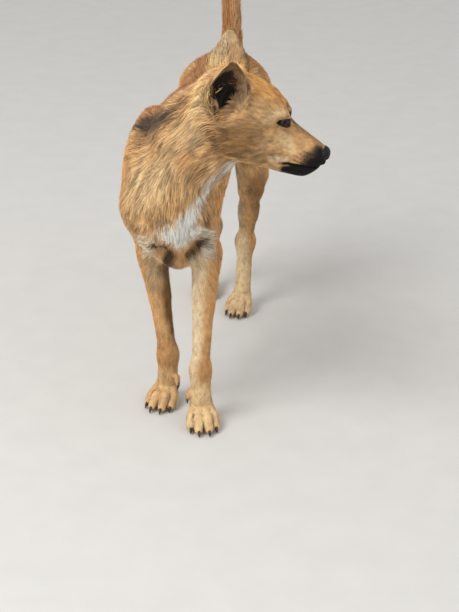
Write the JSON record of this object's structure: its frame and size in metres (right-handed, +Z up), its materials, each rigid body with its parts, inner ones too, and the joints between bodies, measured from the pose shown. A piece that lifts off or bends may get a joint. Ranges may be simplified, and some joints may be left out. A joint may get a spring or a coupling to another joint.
{
  "type": "dog",
  "caption": "Standing short-haired dog of village type, head turned to its left and tail carried upright, as a still life-size model.",
  "frame": {"origin": "centre of the bounding box in plan, on the floor under the paws", "axes": "+Z up; the trunk faces -Y and the dog's own left is +X; the head is turned towards +X"},
  "size_m": [0.3354, 0.6836, 0.733],
  "materials": {
    "coat": "short dense fur, golden tan with a darker saddle and cream throat and legs",
    "ears": "very short fur, paler and barer inside",
    "nose_leather": "moist black leather",
    "eyes": "wet dark brown",
    "claws": "dull black horn"
  },
  "bodies": {
    "root": {"chest": "coat", "claw_front_left_1": "claws", "claw_front_left_2": "claws", "claw_front_left_3": "claws", "claw_front_left_4": "claws", "claw_front_right_1": "claws", "claw_front_right_2": "claws", "claw_front_right_3": "claws", "claw_front_right_4": "claws", "claw_hind_left_1": "claws", "claw_hind_left_2": "claws", "claw_hind_left_3": "claws", "claw_hind_left_4": "claws", "claw_hind_right_1": "claws", "claw_hind_right_2": "claws", "claw_hind_right_3": "claws", "claw_hind_right_4": "claws", "dewclaw_front_left": "claws", "dewclaw_front_right": "claws", "ear_left": "ears", "ear_right": "ears", "eye_left": "eyes", "eye_right": "eyes", "forearm_front_left": "coat", "forearm_front_right": "coat", "head": "coat", "loin": "coat", "lower_jaw": "coat", "metatarsus_hind_left": "coat", "metatarsus_hind_right": "coat", "neck": "coat", "nose": "nose_leather", "pastern_front_left": "coat", "pastern_front_right": "coat", "paw_front_left": "coat", "paw_front_right": "coat", "paw_hind_left": "coat", "paw_hind_right": "coat", "rump": "coat", "shank_hind_left": "coat", "shank_hind_right": "coat", "tail_base": "coat", "tail_middle": "coat", "tail_tip": "coat", "thigh_hind_left": "coat", "thigh_hind_right": "coat", "upper_arm_front_left": "coat", "upper_arm_front_right": "coat"}
  },
  "joints": []
}
